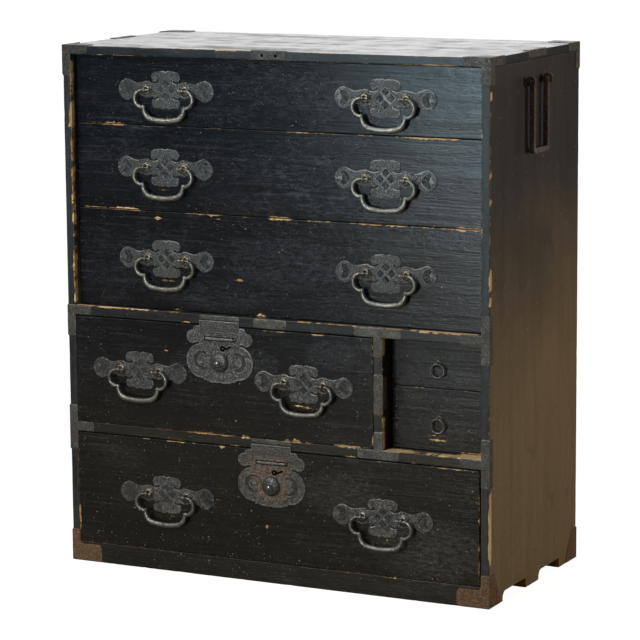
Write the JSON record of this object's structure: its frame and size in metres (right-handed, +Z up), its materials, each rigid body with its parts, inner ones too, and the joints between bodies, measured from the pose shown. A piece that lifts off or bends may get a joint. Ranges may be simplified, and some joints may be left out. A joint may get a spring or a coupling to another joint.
{
  "type": "small tansu chest",
  "caption": "Upright black-lacquered wooden clothes chest with full-width and small drawers, iron bail pulls, push-button locks, corner irons and hinged carrying handles.",
  "frame": {"origin": "middle of the whole chest's box at floor level, fittings included", "axes": "+X to the chest's right seen from its front, +Y to its back, +Z up; the drawers open towards -Y"},
  "size_m": [0.854, 0.4097, 0.9312],
  "materials": {
    "lacquer_case": "satin black lacquer, worn at the edges",
    "lacquer_side": "thin brown-black lacquer over vertical grain",
    "lacquer_top": "scuffed black lacquer with a pale sheen",
    "lacquer_front": "satin black lacquer over horizontal grain",
    "bare_wood": "aged bare softwood",
    "sheet_iron": "blackened sheet iron",
    "rusty_iron": "rusted sheet iron",
    "forged_iron": "worn forged iron"
  },
  "bodies": {
    "case": {"side_panel_left": "lacquer_side", "side_panel_right": "lacquer_side", "top_panel": "lacquer_top", "bottom_panel": "bare_wood", "back_panel": "bare_wood", "base_rail": "lacquer_case", "rail_upper": "lacquer_case", "rail_lower": "lacquer_case", "divider": "lacquer_case", "dust_boards": "bare_wood", "foot_bearers": "bare_wood", "corner_irons_top": "sheet_iron", "corner_irons_bottom": "rusty_iron", "frame_straps": "sheet_iron", "divider_straps": "sheet_iron", "strike_plates": "sheet_iron", "carry_eyes": "forged_iron"},
    "carry_left": {"carry_handle_left": "forged_iron"},
    "carry_right": {"carry_handle_right": "forged_iron"},
    "drawer_top": {"drawer_top_front": "lacquer_front", "drawer_top_box": "bare_wood", "drawer_top_fittings": "sheet_iron"},
    "drawer_top_bail_left_body": {"drawer_top_bail_left": "forged_iron"},
    "drawer_top_bail_right_body": {"drawer_top_bail_right": "forged_iron"},
    "drawer_second": {"drawer_second_front": "lacquer_front", "drawer_second_box": "bare_wood", "drawer_second_fittings": "sheet_iron"},
    "drawer_second_bail_left_body": {"drawer_second_bail_left": "forged_iron"},
    "drawer_second_bail_right_body": {"drawer_second_bail_right": "forged_iron"},
    "drawer_third": {"drawer_third_front": "lacquer_front", "drawer_third_box": "bare_wood", "drawer_third_fittings": "sheet_iron"},
    "drawer_third_bail_left_body": {"drawer_third_bail_left": "forged_iron"},
    "drawer_third_bail_right_body": {"drawer_third_bail_right": "forged_iron"},
    "drawer_middle": {"drawer_middle_front": "lacquer_front", "drawer_middle_box": "bare_wood", "drawer_middle_fittings": "sheet_iron", "drawer_middle_lock_plate": "sheet_iron"},
    "drawer_middle_bail_left_body": {"drawer_middle_bail_left": "forged_iron"},
    "drawer_middle_bail_right_body": {"drawer_middle_bail_right": "forged_iron"},
    "drawer_bottom": {"drawer_bottom_front": "lacquer_front", "drawer_bottom_box": "bare_wood", "drawer_bottom_fittings": "sheet_iron", "drawer_bottom_lock_plate": "sheet_iron"},
    "drawer_bottom_bail_left_body": {"drawer_bottom_bail_left": "forged_iron"},
    "drawer_bottom_bail_right_body": {"drawer_bottom_bail_right": "forged_iron"},
    "small_drawer_upper": {"small_drawer_upper_front": "lacquer_front", "small_drawer_upper_box": "bare_wood", "small_drawer_upper_stud": "forged_iron"},
    "small_drawer_upper_ring_body": {"small_drawer_upper_ring": "forged_iron"},
    "small_drawer_lower": {"small_drawer_lower_front": "lacquer_front", "small_drawer_lower_box": "bare_wood", "small_drawer_lower_stud": "forged_iron"},
    "small_drawer_lower_ring_body": {"small_drawer_lower_ring": "forged_iron"},
    "drawer_middle_lock_button_body": {"drawer_middle_lock_button": "forged_iron"},
    "drawer_middle_lock_bolt_body": {"drawer_middle_lock_bolt": "forged_iron"},
    "drawer_bottom_lock_button_body": {"drawer_bottom_lock_button": "forged_iron"},
    "drawer_bottom_lock_bolt_body": {"drawer_bottom_lock_bolt": "forged_iron"}
  },
  "joints": [
    {"name": "carry_left_swing", "type": "hinge", "parent": "case", "child": "carry_left", "pos_m": [-0.418, 0.00065, 0.88], "axis": [0, 1, 0], "range_deg": [0, 180]},
    {"name": "carry_right_swing", "type": "hinge", "parent": "case", "child": "carry_right", "pos_m": [0.418, 0.00065, 0.88], "axis": [0, -1, 0], "range_deg": [0, 180]},
    {"name": "drawer_top_slide", "type": "slide", "parent": "case", "child": "drawer_top", "axis": [0, -1, 0], "range_m": [0, 0.3]},
    {"name": "drawer_top_bail_left_swing", "type": "hinge", "parent": "drawer_top", "child": "drawer_top_bail_left_body", "pos_m": [-0.211, -0.18285, 0.8555], "axis": [-1, 0, 0], "range_deg": [0, 175]},
    {"name": "drawer_top_bail_right_swing", "type": "hinge", "parent": "drawer_top", "child": "drawer_top_bail_right_body", "pos_m": [0.211, -0.18285, 0.8555], "axis": [-1, 0, 0], "range_deg": [0, 175]},
    {"name": "drawer_second_slide", "type": "slide", "parent": "case", "child": "drawer_second", "axis": [0, -1, 0], "range_m": [0, 0.3]},
    {"name": "drawer_second_bail_left_swing", "type": "hinge", "parent": "drawer_second", "child": "drawer_second_bail_left_body", "pos_m": [-0.215, -0.18285, 0.7195], "axis": [-1, 0, 0], "range_deg": [0, 175]},
    {"name": "drawer_second_bail_right_swing", "type": "hinge", "parent": "drawer_second", "child": "drawer_second_bail_right_body", "pos_m": [0.211, -0.18285, 0.7195], "axis": [-1, 0, 0], "range_deg": [0, 175]},
    {"name": "drawer_third_slide", "type": "slide", "parent": "case", "child": "drawer_third", "axis": [0, -1, 0], "range_m": [0, 0.3]},
    {"name": "drawer_third_bail_left_swing", "type": "hinge", "parent": "drawer_third", "child": "drawer_third_bail_left_body", "pos_m": [-0.215, -0.18285, 0.5585], "axis": [-1, 0, 0], "range_deg": [0, 175]},
    {"name": "drawer_third_bail_right_swing", "type": "hinge", "parent": "drawer_third", "child": "drawer_third_bail_right_body", "pos_m": [0.211, -0.18285, 0.5585], "axis": [-1, 0, 0], "range_deg": [0, 175]},
    {"name": "drawer_middle_slide", "type": "slide", "parent": "case", "child": "drawer_middle", "axis": [0, -1, 0], "range_m": [0, 0.3]},
    {"name": "drawer_middle_bail_left_swing", "type": "hinge", "parent": "drawer_middle", "child": "drawer_middle_bail_left_body", "pos_m": [-0.263, -0.20025, 0.3595], "axis": [-1, 0, 0], "range_deg": [0, 175]},
    {"name": "drawer_middle_bail_right_swing", "type": "hinge", "parent": "drawer_middle", "child": "drawer_middle_bail_right_body", "pos_m": [0.0615, -0.20025, 0.3595], "axis": [-1, 0, 0], "range_deg": [0, 175]},
    {"name": "drawer_bottom_slide", "type": "slide", "parent": "case", "child": "drawer_bottom", "axis": [0, -1, 0], "range_m": [0, 0.3]},
    {"name": "drawer_bottom_bail_left_swing", "type": "hinge", "parent": "drawer_bottom", "child": "drawer_bottom_bail_left_body", "pos_m": [-0.2115, -0.20025, 0.1385], "axis": [-1, 0, 0], "range_deg": [0, 175]},
    {"name": "drawer_bottom_bail_right_swing", "type": "hinge", "parent": "drawer_bottom", "child": "drawer_bottom_bail_right_body", "pos_m": [0.2115, -0.20025, 0.1385], "axis": [-1, 0, 0], "range_deg": [0, 175]},
    {"name": "small_drawer_upper_slide", "type": "slide", "parent": "case", "child": "small_drawer_upper", "axis": [0, -1, 0], "range_m": [0, 0.26]},
    {"name": "small_drawer_upper_ring_swing", "type": "hinge", "parent": "small_drawer_upper", "child": "small_drawer_upper_ring_body", "pos_m": [0.302, -0.16435, 0.409], "axis": [-1, 0, 0], "range_deg": [0, 150]},
    {"name": "small_drawer_lower_slide", "type": "slide", "parent": "case", "child": "small_drawer_lower", "axis": [0, -1, 0], "range_m": [0, 0.26]},
    {"name": "small_drawer_lower_ring_swing", "type": "hinge", "parent": "small_drawer_lower", "child": "small_drawer_lower_ring_body", "pos_m": [0.302, -0.16435, 0.3135], "axis": [-1, 0, 0], "range_deg": [0, 150]},
    {"name": "drawer_middle_lock_press", "type": "slide", "parent": "drawer_middle", "child": "drawer_middle_lock_button_body", "axis": [0, 1, 0], "range_m": [0, 0.0035], "stiffness_N_per_m": 500},
    {"name": "drawer_middle_lock_bolt_rise", "type": "slide", "parent": "drawer_middle", "child": "drawer_middle_lock_bolt_body", "axis": [0, 0, 1], "range_m": [0, 0.006]},
    {"name": "drawer_bottom_lock_press", "type": "slide", "parent": "drawer_bottom", "child": "drawer_bottom_lock_button_body", "axis": [0, 1, 0], "range_m": [0, 0.0035], "stiffness_N_per_m": 500},
    {"name": "drawer_bottom_lock_bolt_rise", "type": "slide", "parent": "drawer_bottom", "child": "drawer_bottom_lock_bolt_body", "axis": [0, 0, 1], "range_m": [0, 0.006]}
  ],
  "couplings": [
    {"joint": "drawer_middle_lock_bolt_rise", "follows": "drawer_middle_lock_press", "ratio": 1.7},
    {"joint": "drawer_bottom_lock_bolt_rise", "follows": "drawer_bottom_lock_press", "ratio": 1.7}
  ]
}
